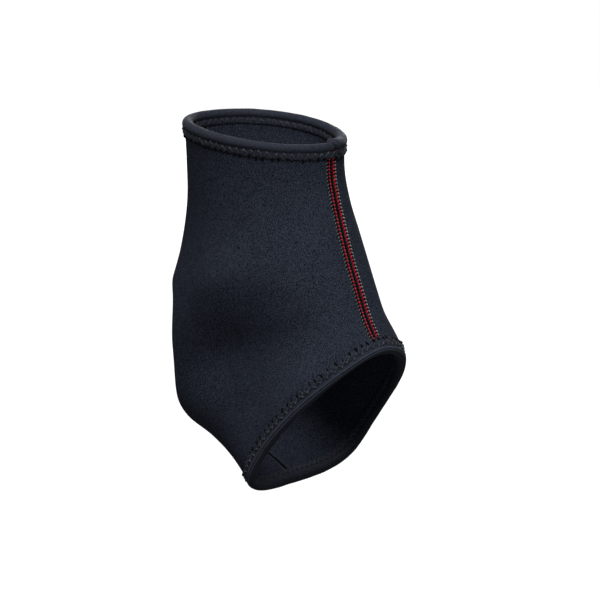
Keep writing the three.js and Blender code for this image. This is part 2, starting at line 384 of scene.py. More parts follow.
def knit_group():
    """Relief of a fine jersey: columns of V-shaped loops. The vector is the piece's map in millimetres."""
    tree, given, result = group("knit", {"Vector": None, "Wale": 0.7, "Course": 0.55}, ["Height"])
    parts = add(tree, "ShaderNodeSeparateXYZ", {0: given["Vector"]})
    across = maths(tree, "PINGPONG", maths(tree, "DIVIDE", parts.outputs[0], given["Wale"]), 0.5)
    course = maths(tree, "ADD", maths(tree, "DIVIDE", parts.outputs[1], given["Course"]), across)
    loop = maths(tree, "SINE", maths(tree, "MULTIPLY", course, 2 * math.pi))
    rib = maths(tree, "SINE", maths(tree, "MULTIPLY", across, 2 * math.pi))
    height = maths(tree, "MULTIPLY_ADD", loop, 0.35, maths(tree, "MULTIPLY", rib, 0.65))
    tree.links.new(height, result["Height"])
    return tree


def fuzz_group():
    """Loose fibre on thread and cloth, as a height."""
    tree, given, result = group("fuzz", {"Vector": None, "Fineness": 2500.0}, ["Height"])
    tree.links.new(noise(tree, given["Vector"], given["Fineness"], 4.0, 0.65), result["Height"])
    return tree


HEATHER, KNIT, FUZZ = heather_group(), knit_group(), fuzz_group()


def effect(tree, kind, **inputs):
    """The outputs of one of these groups, placed in a material with its own values."""
    return add(tree, "ShaderNodeGroup", inputs, node_tree=kind).outputs


# Finishes

def material(name, roughness, specular, sheen):
    """A material with its shader's plain values, ready for its own nodes."""
    made = bpy.data.materials.new(name)
    made.use_nodes = True
    shader = made.node_tree.nodes["Principled BSDF"].inputs
    shader["Roughness"].default_value = roughness
    shader["Specular IOR Level"].default_value = specular
    shader["Sheen Weight"].default_value = sheen
    shader["Sheen Roughness"].default_value = 0.5
    return made, made.node_tree, shader


def relief(tree, shader, height, strength, depth):
    """A bump on a shader from a height. depth is in millimetres."""
    bump = add(tree, "ShaderNodeBump", {"Strength": strength, "Distance": depth * MM, "Height": height})
    tree.links.new(bump.outputs[0], shader["Normal"])


def jersey(name, dark, light, lint, depth):
    """Heathered jersey, bonded to foam."""
    made, tree, shader = material(name, 0.95, 0.06, 0.0)
    where = add(tree, "ShaderNodeTexCoord").outputs["Object"]
    cloth = add(tree, "ShaderNodeUVMap", uv_map="cloth").outputs[0]
    heather = effect(tree, HEATHER, Vector=where)
    knit = effect(tree, KNIT, Vector=cloth)[0]
    fuzz = effect(tree, FUZZ, Vector=where)[0]
    tone = colours(tree, heather["Fleck"], dark, light)
    tree.links.new(colours(tree, heather["Lint"], tone, lint), shader["Base Color"])
    height = maths(tree, "MULTIPLY_ADD", fuzz, 0.6, maths(tree, "MULTIPLY", knit, 0.4))
    relief(tree, shader, height, 0.5, depth)
    return made


# The lighter lines along a tape's folds are painted highlight.
FOLD_HALF_WIDTH = 0.16  # of a painted highlight line along a fold, in millimetres
FOLD_HIGHLIGHT = 0.8
FOLD_LIGHTER = 2.6  # how many times lighter a painted highlight line is


def stretch_tape(name, dark, light, folds=()):
    """Smooth elastic tape with fine ribs along it, and painted highlight lines along folds, in millimetres
    across it.
    """
    made, tree, shader = material(name, 0.72, 0.1, 0.02)
    where = add(tree, "ShaderNodeTexCoord").outputs["Object"]
    cloth = add(tree, "ShaderNodeUVMap", uv_map="cloth").outputs[0]
    heather = effect(tree, HEATHER, Vector=where, Fibre=2200.0, Patch=160.0)
    knit = effect(tree, KNIT, Vector=cloth, Wale=0.5, Course=0.4)[0]
    tone = colours(tree, heather["Fleck"], dark, light)
    # A lighter copy of the tape's colour, painted as a highlight along each fold.
    fold_highlight = tuple(v * FOLD_LIGHTER for v in light[:3]) + (1,)
    across = add(tree, "ShaderNodeSeparateXYZ", {0: cloth}).outputs[0]
    for fold in folds:
        line = maths(tree, "COMPARE", across, fold, FOLD_HALF_WIDTH)
        tone = colours(tree, maths(tree, "MULTIPLY", line, FOLD_HIGHLIGHT), tone, fold_highlight)
    tree.links.new(tone, shader["Base Color"])
    relief(tree, shader, knit, 0.35, 0.08)
    return made


def thread(name, dark, light, roughness, specular):
    """Spun thread: darker between its fibres."""
    made, tree, shader = material(name, roughness, specular, 0.03)
    where = add(tree, "ShaderNodeTexCoord").outputs["Object"]
    fuzz = effect(tree, FUZZ, Vector=where, Fineness=3500.0)[0]
    fibre = maths(tree, "MULTIPLY_ADD", fuzz, 2.4, -0.7, clamp=True)
    tree.links.new(colours(tree, fibre, dark, light), shader["Base Color"])
    relief(tree, shader, fuzz, 0.5, 0.12)
    return made


def foam(name, dark, light):
    """The black foam at a cut edge, with fine open cells."""
    made, tree, shader = material(name, 0.95, 0.15, 0.0)
    where = add(tree, "ShaderNodeTexCoord").outputs["Object"]
    cells = add(tree, "ShaderNodeTexVoronoi", {"Vector": where, "Scale": 3200.0}).outputs["Distance"]
    tree.links.new(colours(tree, cells, dark, light), shader["Base Color"])
    relief(tree, shader, cells, 0.6, 0.15)
    return made


JERSEY = jersey(
    "heathered_jersey", dark=(0.0025, 0.004, 0.009, 1), light=(0.038, 0.0455, 0.065, 1),
    lint=(0.1, 0.11, 0.13, 1), depth=0.2)
TAPE_DARK, TAPE_LIGHT = (0.0075, 0.0095, 0.0155, 1), (0.022, 0.0265, 0.0385, 1)
TAPE_CLOTH = stretch_tape("stretch_tape", TAPE_DARK, TAPE_LIGHT)
# Its lines at 6.3 and 7.7 mm across are painted highlights along the folds.
FOLDED_TAPE = stretch_tape("folded_stretch_tape", TAPE_DARK, TAPE_LIGHT, folds=(6.3, 7.7))
RED = thread("red_cord", (0.3, 0.0015, 0.005, 1), (0.95, 0.008, 0.02, 1), 0.5, 0.3)
GREY = thread("grey_thread", (0.12, 0.145, 0.14, 1), (0.5, 0.57, 0.55, 1), 0.5, 0.3)
# A darker copy of the grey thread, for the loops on the outer side: painted shade.
SHADED_GREY = thread("painted_shade_grey_thread", (0.03, 0.037, 0.037, 1), (0.17, 0.2, 0.19, 1), 0.55, 0.2)
CHARCOAL = thread("charcoal_thread", (0.003, 0.004, 0.0055, 1), (0.062, 0.074, 0.088, 1), 0.6, 0.15)
# A lighter copy of the charcoal zigzag thread, for painted highlights at its upper turns.
ZIGZAG_HIGHLIGHT = thread("zigzag_highlight_thread", (0.012, 0.0155, 0.02, 1), (0.085, 0.104, 0.122, 1), 0.6, 0.15)
BLACK = thread("black_thread", (0.0007, 0.0009, 0.0014, 1), (0.003, 0.0037, 0.0052, 1), 0.9, 0.04)
FOAM = foam("cut_foam", (0.004, 0.0042, 0.005, 1), (0.02, 0.021, 0.024, 1))

# Stitches

ARCH_STEPS = 6
THREAD_SIDES = 7


def carried(tree, name, kind):
    """An attribute that each point of a stitch carries."""
    return add(tree, "GeometryNodeInputNamedAttribute", {"Name": name}, data_type=kind).outputs[0]


def stitch_tree():
    """A short arch of thread on each point, along its own direction, with its ends sunk in the cloth."""
    tree = bpy.data.node_groups.new("stitches", "GeometryNodeTree")
    sockets = {
        "Geometry": "Geometry", "Length": "Float", "Width": "Float", "Rise": "Float", "Sink": "Float",
        "Taper": "Float", "Unevenness": "Float", "Seed": "Int", "Finish": "Material",
    }
    for key, kind in sockets.items():
        tree.interface.new_socket(key, in_out="INPUT", socket_type="NodeSocket" + kind)
    tree.interface.new_socket("Geometry", in_out="OUTPUT", socket_type="NodeSocketGeometry")
    given = tree.nodes.new("NodeGroupInput").outputs
    half = maths(tree, "MULTIPLY", given["Length"], 0.5)
    low = maths(tree, "MULTIPLY", given["Sink"], -1.0)
    high = maths(tree, "MULTIPLY_ADD", given["Rise"], 2.0, given["Sink"])
    start = add(tree, "ShaderNodeCombineXYZ", {0: maths(tree, "MULTIPLY", half, -1.0), 2: low}).outputs[0]
    middle = add(tree, "ShaderNodeCombineXYZ", {2: high}).outputs[0]
    end = add(tree, "ShaderNodeCombineXYZ", {0: half, 2: low}).outputs[0]
    arch = add(tree, "GeometryNodeCurveQuadraticBezier",
               {"Resolution": ARCH_STEPS, "Start": start, "Middle": middle, "End": end}).outputs[0]
    share = add(tree, "GeometryNodeSplineParameter").outputs["Factor"]
    from_middle = maths(tree, "ABSOLUTE", maths(tree, "MULTIPLY_ADD", share, 2.0, -1.0))
    narrowing = maths(tree, "MULTIPLY", maths(tree, "POWER", from_middle, 2.0), given["Taper"])
    arch = add(tree, "GeometryNodeSetCurveRadius",
               {"Curve": arch, "Radius": maths(tree, "SUBTRACT", 1.0, narrowing)}).outputs[0]
    radius = maths(tree, "MULTIPLY", given["Width"], 0.5)
    ring = add(tree, "GeometryNodeCurvePrimitiveCircle",
               {"Resolution": THREAD_SIDES, "Radius": radius}).outputs[0]
    strand = add(tree, "GeometryNodeCurveToMesh",
                 {"Curve": arch, "Profile Curve": ring, "Fill Caps": True}).outputs[0]
    out, ahead = carried(tree, "out", "FLOAT_VECTOR"), carried(tree, "ahead", "FLOAT_VECTOR")
    stretch = carried(tree, "stretch", "FLOAT")
    turned = add(tree, "FunctionNodeAxesToRotation", {0: out, 1: ahead}, primary_axis="Z", secondary_axis="X")
    least = maths(tree, "SUBTRACT", 1.0, given["Unevenness"])
    most = maths(tree, "ADD", 1.0, given["Unevenness"])
    between = {2: least, 3: most, "Seed": given["Seed"]}
    uneven = add(tree, "FunctionNodeRandomValue", between, data_type="FLOAT").outputs[1]
    size = add(tree, "ShaderNodeCombineXYZ", {0: stretch, 1: uneven, 2: uneven}).outputs[0]
    placed = add(tree, "GeometryNodeInstanceOnPoints", {
        "Points": given["Geometry"], "Instance": strand, "Rotation": turned.outputs[0], "Scale": size})
    real = add(tree, "GeometryNodeRealizeInstances", {0: placed.outputs[0]}).outputs[0]
    smooth = add(tree, "GeometryNodeSetShadeSmooth", {0: real}).outputs[0]
    finished = add(tree, "GeometryNodeSetMaterial",
                   {"Geometry": smooth, "Material": given["Finish"]}).outputs[0]
    tree.links.new(finished, tree.nodes.new("NodeGroupOutput").inputs[0])
    return tree


STITCHES = stitch_tree()


def stitch(length, width, rise, sink, taper, unevenness=0.08):
    """A kind of stitch, in millimetres: its length and width, how far it rises and how deep its ends sink.

    taper and unevenness are shares.
    """
    return {
        "Length": length * MM, "Width": width * MM, "Rise": rise * MM, "Sink": sink * MM,
        "Taper": taper, "Unevenness": unevenness,
    }


def stitched(name, seats, finish, kind, seed, stretch=None):
    """A piece made of one stitch on each seat. Seats are places, outward directions and ways ahead."""
    places, out, ahead = seats
    stretch = np.ones(len(places)) if stretch is None else stretch
    obj = blank_mesh(name, places, {"out": out, "ahead": ahead}, stretch)
    made = obj.modifiers.new("stitches", "NODES")
    made.node_group = STITCHES
    values = {**kind, "Seed": seed, "Finish": finish}
    for item in STITCHES.interface.items_tree:
        if item.in_out == "INPUT" and item.name in values:
            made[item.identifier] = values[item.name]
    bpy.context.view_layer.update()
    graph = bpy.context.evaluated_depsgraph_get()
    mesh = bpy.data.meshes.new_from_object(obj.evaluated_get(graph), depsgraph=graph)
    obj.modifiers.remove(made)
    obj.data = mesh
    mesh.name = name
    return obj


# The two panels

SEAM_ROUND = 1.1  # how far the panels' edges are rounded where they meet
CUT_ROUND = 0.45  # and at the cut edge of the heel opening
SEAM_GAP = 0.02  # how far each panel keeps from the middle plane
NEAR_EDGE = np.array([0, 0.06, 0.2, 0.42, 0.7, 1.0, 1.35, 1.75, 2.2, 2.7, 3.2, 3.7, 4.2, 4.8, 5.5])
EVEN_POINTS = 82  # of a ring on one face, between those near its edges
EDGE_POINTS = 3  # of a ring through the wall at each edge
FACE_POINTS = 2 * len(NEAR_EDGE) + EVEN_POINTS
UNDER_TAPE = 0.045  # the share of the sleeve at each end with rings closer together
TAPE_RINGS, LEG_RINGS, HEEL_RINGS, FOOT_RINGS = 14, 62, 111, 34
MAP_LENGTH = 195  # of the cloth's own map along the sleeve, in millimetres
SPREAD_AT = [0, 0.3, 1]  # shares of the sleeve at which the rows' distances are given
CORD_AWAY = [1.5, 1.85, 1.9]
LOOPS_BEYOND = [1.55, 1.8, 1.6]  # how far beyond the cord the loops lie
FURROW = 0.3  # how deep a row presses the cloth
CORD_FURROW, LOOP_FURROW = 0.75, 0.45  # how wide


def rear_edge(along):
    """Where a panel's rear edge lies round the sleeve: at the seam, or drawn forward by the heel opening."""
    t = np.clip((np.asarray(along) - HEEL_TOP_AT) / (HEEL_SOLE_AT - HEEL_TOP_AT), 0, 1)
    return 1 - HEEL_OPENING * 2 * np.sqrt(t * (1 - t)) * (1 - HEEL_TAPER * t * t)


def rounded(distance, radius):
    """How far the face falls at a distance from an edge that is rounded over a radius."""
    left = np.clip(1 - distance / radius, 0, 1)
    return radius * (1 - np.sqrt(1 - left**2))


def row_away(along):
    """How far a row of red cord lies from its seam: the rows spread towards the foot."""
    return np.interp(along, SPREAD_AT, CORD_AWAY)


def loop_away(along):
    """How far the grey loops lie from their seam."""
    return row_away(along) + np.interp(along, SPREAD_AT, LOOPS_BEYOND)


def pressed(distance, along):
    """How far the rows of cord and the loops press the cloth down, at a distance from a seam."""
    row = FURROW * np.exp(-(((distance - row_away(along)) / CORD_FURROW) ** 2))
    loops = FURROW * np.exp(-(((distance - loop_away(along)) / LOOP_FURROW) ** 2))
    return row + loops


def panel_stations():
    """Shares along the sleeve of a panel's rings, closer under the tapes and at the heel opening's ends."""
    swing = (1 - np.cos(np.linspace(0, math.pi, HEEL_RINGS))) / 2
    return np.concatenate([
        np.linspace(0, UNDER_TAPE, TAPE_RINGS)[:-1],
        np.linspace(UNDER_TAPE, HEEL_TOP_AT, LEG_RINGS)[:-1],
        (HEEL_TOP_AT + (HEEL_SOLE_AT - HEEL_TOP_AT) * swing)[:-1],
        np.linspace(HEEL_SOLE_AT, 1 - UNDER_TAPE, FOOT_RINGS)[:-1],
        np.linspace(1 - UNDER_TAPE, 1, TAPE_RINGS),
    ])


def through_wall(sleeve, along, around, radius):
    """Points from the outer face to the inner one at an edge that is rounded over a radius."""
    heights = np.linspace(WALL / 2 - radius, -WALL / 2 + radius, EDGE_POINTS + 2)[1:-1]
    return sleeve.place(np.full(EDGE_POINTS, along), np.full(EDGE_POINTS, around), heights)


def panel(name, side):
    """One side panel: jersey on both faces, foam at the cut edge, and edges rounded at the seams."""
    sleeve = SIDES[side]
    stations = panel_stations()
    rings, maps = [], []
    for along in stations:
        edge = float(rear_edge(along))
        is_open = edge < 1
        whole = sleeve.half_girth(along)
        width = whole * edge
        even = np.linspace(NEAR_EDGE[-1], width - NEAR_EDGE[-1], EVEN_POINTS + 2)[1:-1]
        run = np.concatenate([NEAR_EDGE, even, width - NEAR_EDGE[::-1]])
        behind = width - run
        rear_round = CUT_ROUND if is_open else SEAM_ROUND
        fall = rounded(run, SEAM_ROUND) + rounded(behind, rear_round)
        furrow = pressed(run, along) + (0 if is_open else pressed(behind, along))
        outer = sleeve.place(along, run / whole, WALL / 2 - fall - furrow)
        inner = sleeve.place(along, run / whole, -WALL / 2 + fall)
        rear_wall = through_wall(sleeve, along, run[-1] / whole, rear_round)
        front_wall = through_wall(sleeve, along, run[0] / whole, SEAM_ROUND)
        ring = np.concatenate([outer, rear_wall, inner[::-1], front_wall[::-1]])
        ring[:, 0] = np.where(side * ring[:, 0] < SEAM_GAP, side * SEAM_GAP, ring[:, 0])
        rings.append(ring)
        across = np.concatenate([run, [run[-1]] * EDGE_POINTS, run[::-1], [run[0]] * EDGE_POINTS])
        maps.append(np.stack([across, np.full(len(ring), along * MAP_LENGTH)], axis=1))
    points, size = np.concatenate(rings), len(rings[0])
    faces = tube_faces(points, len(rings), size)
    obj = mesh_object(name, points, faces, uv=np.concatenate(maps))
    obj.data.materials.append(JERSEY)
    obj.data.materials.append(FOAM)
    station, place_in_ring = np.divmod(np.arange((len(rings) - 1) * size), size)
    at_rear = (place_in_ring >= FACE_POINTS - 1) & (place_in_ring < FACE_POINTS + EDGE_POINTS)
    is_foam = np.zeros(len(faces), dtype=np.int32)
    is_foam[:len(station)] = at_rear & (rear_edge(stations)[station] < 1)
    obj.data.polygons.foreach_set("material_index", is_foam)
    return obj


outer_jersey = panel("outer_panel_jersey", -1)
inner_jersey = panel("inner_panel_jersey", 1)

# The seams

PITCH = 1.8  # of the cord's beads and of the loops
INSIDE_AWAY = 2.0  # how far the rows of thread inside lie from their seam
TIE_BEYOND = 0.75  # how far beyond the cord the ties sit
LOOP_INSET = 0.1  # how much nearer the seam than their line the loops sit
CORD_STITCH = stitch(length=1.12, width=0.54, rise=0.4, sink=0.32, taper=0.35)
LOOP_STITCH = stitch(length=1.15, width=0.46, rise=0.28, sink=0.3, taper=0.2, unevenness=0.12)
TIE_STITCH = stitch(length=1.9, width=0.62, rise=0.16, sink=0.2, taper=0.1, unevenness=0.1)
LACE_STITCH = stitch(length=2.3, width=0.75, rise=0.3, sink=0.35, taper=0.1, unevenness=0.1)
INSIDE_STITCH = stitch(length=1.85, width=0.6, rise=0.16, sink=0.2, taper=0.3)
MIDDLE_STITCH = stitch(length=1.85, width=0.8, rise=0.16, sink=0.2, taper=0.3)


def tie_away(along):
    """How far the black ties lie from their seam: between the cord and the loops."""
    return row_away(along) + TIE_BEYOND


def loop_seat_away(along):
    """How far the loops' seats lie from their seam."""
    return loop_away(along) - LOOP_INSET


def inside_away(along):
    """How far the rows inside lie from their seam, which they follow evenly."""
    return np.full_like(along, INSIDE_AWAY)


# A row's stitches are evenly spaced at the distance walked from the seam, and sit at the distance seated, at
# a depth under the face. They are turned in the cloth by degrees from the way down the seam.
Row = namedtuple("Row", "walked seated pitch depth turn stitch")
CORD_ROW = Row(row_away, row_away, PITCH, 0.05, -20, CORD_STITCH)
LOOP_ROW = Row(loop_away, loop_seat_away, PITCH, 0.1, 38, LOOP_STITCH)
TIE_ROW = Row(loop_away, tie_away, PITCH / 2, 0.2, 80, TIE_STITCH)
LACE_ROW = Row(row_away, row_away, PITCH / 2, 0.35, 84, LACE_STITCH)
INSIDE_ROW = Row(inside_away, inside_away, PITCH, 0.05, 0, INSIDE_STITCH)
MIDDLE_ROW = Row(inside_away, inside_away, PITCH, 0.05, 0, MIDDLE_STITCH)

WALK_STEPS = 1500
AHEAD_STEP = 0.003  # the share of the sleeve that gives the way down a seam


def slanted(out, ahead, degrees):
    """A direction turned in the cloth from the way ahead."""
    across = np.cross(out, ahead)
    angle = math.radians(degrees)
    return ahead * math.cos(angle) + across * math.sin(angle)


def seam_row(name, seam, ends, hand, row, finish, seed, face=1):
    """A row of stitches beside a seam, between two shares of the sleeve.

    hand is -1 or 1 for its side, and 0 on the seam itself. face is 1 for the outer face and -1 for the inner.
    """
    fine = np.linspace(*ends, WALK_STEPS)
    runs = runs_along(place_across(seam, fine, hand * row.walked(fine), WALL / 2))
    count = int(round(runs[-1] / row.pitch))
    along = np.interp((np.arange(count) + 0.5) * runs[-1] / count, runs, fine)
    away, height = hand * row.seated(along), face * (WALL / 2 - row.depth)
    here = place_across(seam, along, away, height)
    out = unit(place_across(seam, along, away, height + 1.0) - here) * face
    behind = place_across(seam, along - AHEAD_STEP, away, height)
    ahead = unit(place_across(seam, along + AHEAD_STEP, away, height) - behind)
    seats = here, out, slanted(out, ahead, (hand or 1) * row.turn)
    return stitched(name, seats, finish, row.stitch, seed)


CORE_RINGS, CORE_SIDES = 160, 10
CORE_HALF_WIDTH, CORE_HALF_DEPTH, CORE_HEIGHT = 0.9, 0.75, 0.15


def seam_core(name, seam, ends):
    """A soft black cord that fills the groove between the panels' two edges."""
    fine = np.linspace(*ends, CORE_RINGS)
    lines = []
    for angle in np.linspace(0, 2 * math.pi, CORE_SIDES + 1)[:-1]:
        away, height = CORE_HALF_WIDTH * math.cos(angle), CORE_HEIGHT + CORE_HALF_DEPTH * math.sin(angle)
        lines.append(place_across(seam, fine, away, height))
    points = np.stack(lines, axis=1).reshape(-1, 3)
    core = mesh_object(name, points, tube_faces(points, CORE_RINGS, CORE_SIDES))
    core.data.materials.append(BLACK)
    return core


def seam(prefix, kind, start, end, seed):
    """A flat seam: two rows of red cord, grey loops outside them, black lacing between and rows inside."""
    ends = start, end
    cords, loops = [], []
    # The outer side's loops take the darker copy of the grey thread: painted shade.
    for hand, grey in ((-1, SHADED_GREY), (1, GREY)):
        cords.append(seam_row(f"{prefix}_row_{hand}", kind, ends, hand, CORD_ROW, RED, seed + hand))
        loops.append(seam_row(f"{prefix}_loop_{hand}", kind, ends, hand, LOOP_ROW, grey, seed + 3 + hand))
        loops.append(seam_row(f"{prefix}_tie_{hand}", kind, ends, hand, TIE_ROW, BLACK, seed + 6 + hand))
    lacing = [
        seam_row(f"{prefix}_lace", kind, ends, 0, LACE_ROW, BLACK, seed + 9),
        seam_core(f"{prefix}_core", kind, ends),
    ]
    for hand, row, finish in ((-1, INSIDE_ROW, CHARCOAL), (1, INSIDE_ROW, CHARCOAL), (0, MIDDLE_ROW, BLACK)):
        lacing.append(seam_row(f"{prefix}_inside_{hand}", kind, ends, hand, row, finish, seed + 12, face=-1))
    for suffix, pieces in (("red_cords", cords), ("grey_loops", loops), ("black_lacing", lacing)):
        piece = joined(f"{prefix}_{suffix}", pieces)
        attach(piece, "root")
        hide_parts(prefix)


# Each rim is known by the share of the sleeve at which it lies.
LEG, FOOT = 0, 1
SEAM_TO_LEG, SEAM_TO_FOOT = 4.4, 4.6  # how far from its rim a seam ends, under the tape
PAST_HEEL = 0.002  # and how far from the heel opening, as a share of the sleeve


def rim_along(rim, around, depth, side):
    """The share along the sleeve at a depth below a rim."""
    per_share = SIDES[side].read(SIDES[side].per_share, float(rim), around)
    return depth / per_share if rim == LEG else 1 - depth / per_share


def seam_end(rim, around, depth):
    """Where a seam ends at a rim, in front with around at 0 and behind with around at 1."""
    return float(rim_along(rim, around, depth, 1))


seam("front_seam", "front", seam_end(LEG, 0.0, SEAM_TO_LEG), seam_end(FOOT, 0.0, SEAM_TO_FOOT), 10)
seam("back_seam", "back", seam_end(LEG, 1.0, SEAM_TO_LEG), HEEL_TOP_AT - PAST_HEEL, 40)
seam("sole_seam", "back", HEEL_SOLE_AT + PAST_HEEL, seam_end(FOOT, 1.0, SEAM_TO_FOOT), 70)

# The tapes round the rims

ZIGZAG_PITCH = 3.8
ZIGZAG_TOP = 1.6  # depth below the wall's edge at which the stitch enters the tape
ZIGZAG_FOOT = 5.5  # and at which it enters the panel
ROLL = 2.75  # the tape's distance from the middle of the wall's edge
COVER = 2.4  # the height of its flat part over the wall's middle
TAPE_COLUMNS = 620
ROLL_POINTS = 21
# Depths below the wall's edge of the tape's points on one face
FLAT = np.array([5.35, 5.28, 5.1, 4.8, 4.4, 3.9, 3.4, 2.9, 2.4, 2.0, 1.6, 1.2, 0.8, 0.4])
ON_OUTER = slice(0, len(FLAT))
ON_ROLL = slice(len(FLAT), len(FLAT) + ROLL_POINTS)
ON_INNER = slice(len(FLAT) + ROLL_POINTS, 2 * len(FLAT) + ROLL_POINTS)

# The flat part of a tape: its swell by the roll, the groove of the stitch and the fall at its edge
SWELL, SWELL_SPREAD = 0.35, 1.3
GROOVE, GROOVE_SPREAD = 0.4, 0.55
EDGE_FALL, EDGE_FROM, EDGE_OVER = 0.75, 4.7, 0.65

# Dimples at the stitch's upper and lower points: how wide, and how deep on the outer and on the inner face
TOP_DIMPLE, FOOT_DIMPLE = 0.8, 0.95
OUTER_TOP_PULL, OUTER_FOOT_PULL = 0.45, 0.85
INNER_TOP_PULL, INNER_FOOT_PULL = 0.2, 0.45

# The outer edge hangs down between the stitches, and each draws it up.
EDGE_SLACK, EDGE_DRAW, EDGE_DRAW_SPREAD = 0.4, 0.85, 1.0
DRAWN_FROM, DRAWN_OVER = 3.6, 1.7

WAVE = 0.03  # of the roll round the rim, in millimetres
WAVE_COUNTS = (7, 11, 17, 26)

# The lapped end of the leg tape
LAP_AT, LAP_SLOPE = 0.4, 0.55  # its edge's turn at the top of the roll, and how it runs on downwards
LAP_RISE, LAP_STEP, LAP_FADE = 1.5, 0.9, 9.0
CREASE, CREASE_SPREAD = 0.9, 0.55
LAP_LIFT, LAP_LIFT_STEP, LAP_LIFT_FADE, LAP_LIFT_DEPTH = 3.0, 3.0, 8.0, 6.5
LAP_REACH = 60

# How far the foot tape's roll stands out at angles round it: it has a sharp fold line on its outer part.
FOLD_ANGLES = [-1.6, 0.0, 0.63, 0.79, 0.95, 1.6]
FOLD_SHARES = [1.0, 0.9, 0.93, 1.04, 0.98, 1.0]

LINING_DEPTHS = np.array([5.3, 2.6, 0.0])
LINING_HEIGHT = 1.55  # just over the wall's face
LINING_ROLL = 1.6
LINING_MAP = 3.0  # its place on the cloth's own map, clear of the painted fold highlights


def rim_place(rim, turn, depth, height):
    """Places near a rim: turn is the distance round it from the front seam, below 0 on the outer side."""
    turn, depth, height = np.broadcast_arrays(*(np.asarray(v, float) for v in (turn, depth, height)))
    out = np.zeros(turn.shape + (3,))
    for side, sleeve in SIDES.items():
        here = turn < 0 if side < 0 else turn >= 0
        around = np.abs(turn[here]) / sleeve.half_girth(float(rim))
        out[here] = sleeve.place(rim_along(rim, around, depth[here], side), around, height[here])
    return out


def rim_ends(rim):
    """The turn at which each side of a rim ends, behind: the outer side's, below 0, and the inner side's."""
    return -OUTER.half_girth(float(rim)), INNER.half_girth(float(rim))


def rim_stitches(rim, seed):
    """Turns and depths of the zigzag's upper points, then of its lower ones, slightly uneven."""
    rng = np.random.default_rng(seed)
    low, high = rim_ends(rim)
    count = int(round((high - low) / ZIGZAG_PITCH))
    pitch = (high - low) / count
    tops = low + (np.arange(count) + 0.25) * pitch + rng.uniform(-0.6, 0.6, count)
    feet = low + (np.arange(count) + 0.75) * pitch + rng.uniform(-0.65, 0.65, count)
    deep = ZIGZAG_FOOT + rng.uniform(-0.5, 0.3, count)
    high_up = ZIGZAG_TOP + rng.uniform(-0.35, 0.45, count)
    return tops, high_up, feet, deep


def dimples(turn, depth, turns, depths, spread, whole):
    """A field of small dimples where the stitch goes into the cloth, as a share from 0 to 1, on a rim that
    closes on itself.
    """
    away = turn[..., None] - turns
    away = (away + whole / 2) % whole - whole / 2
    return np.exp(-(away**2 + (depth[..., None] - depths) ** 2) / spread**2).max(axis=-1)


def flat_cover():
    """Heights of the tape's flat part: swollen by the roll, drawn in at the stitch and at the edge."""
    swell = SWELL * np.exp(-(((FLAT + 0.1) / SWELL_SPREAD) ** 2))
    groove = GROOVE * np.exp(-(((FLAT - ZIGZAG_TOP) / GROOVE_SPREAD) ** 2))
    edge = EDGE_FALL * np.clip((FLAT - EDGE_FROM) / EDGE_OVER, 0, 1) ** 2
    return COVER + swell - groove - edge


def lap_edge(depth):
    """The turn at which the lapped end of the leg tape lies, at a depth below the wall's edge."""
    return LAP_AT + LAP_SLOPE * np.clip(depth + ROLL, 0, 9)


def lapped(turn, depth, height):
    """The leg tape's depths and heights, with one end lapped over the other beside the front seam."""
    past = turn - lap_edge(depth)
    reach = np.clip(past, 0, LAP_REACH)
    lap = LAP_RISE * np.clip(past / LAP_STEP, 0, 1) * np.exp(-reach / LAP_FADE)
    crease = CREASE * np.exp(-((past / CREASE_SPREAD) ** 2))
    outwards = np.ones(depth.shape[1])
    outwards[ON_ROLL.start + ROLL_POINTS // 2 + 1:] = -1
    fullness = np.ones_like(height)
    fullness[:, ON_ROLL] = np.abs(height[:, ON_ROLL]) / ROLL
    lift = LAP_LIFT * np.clip(past / LAP_LIFT_STEP, 0, 1) * np.exp(-reach / LAP_LIFT_FADE)
    near_rim = np.clip(1 - (depth + ROLL) / LAP_LIFT_DEPTH, 0, 1)
    return depth - lift * near_rim, height + outwards * (lap - crease) * fullness


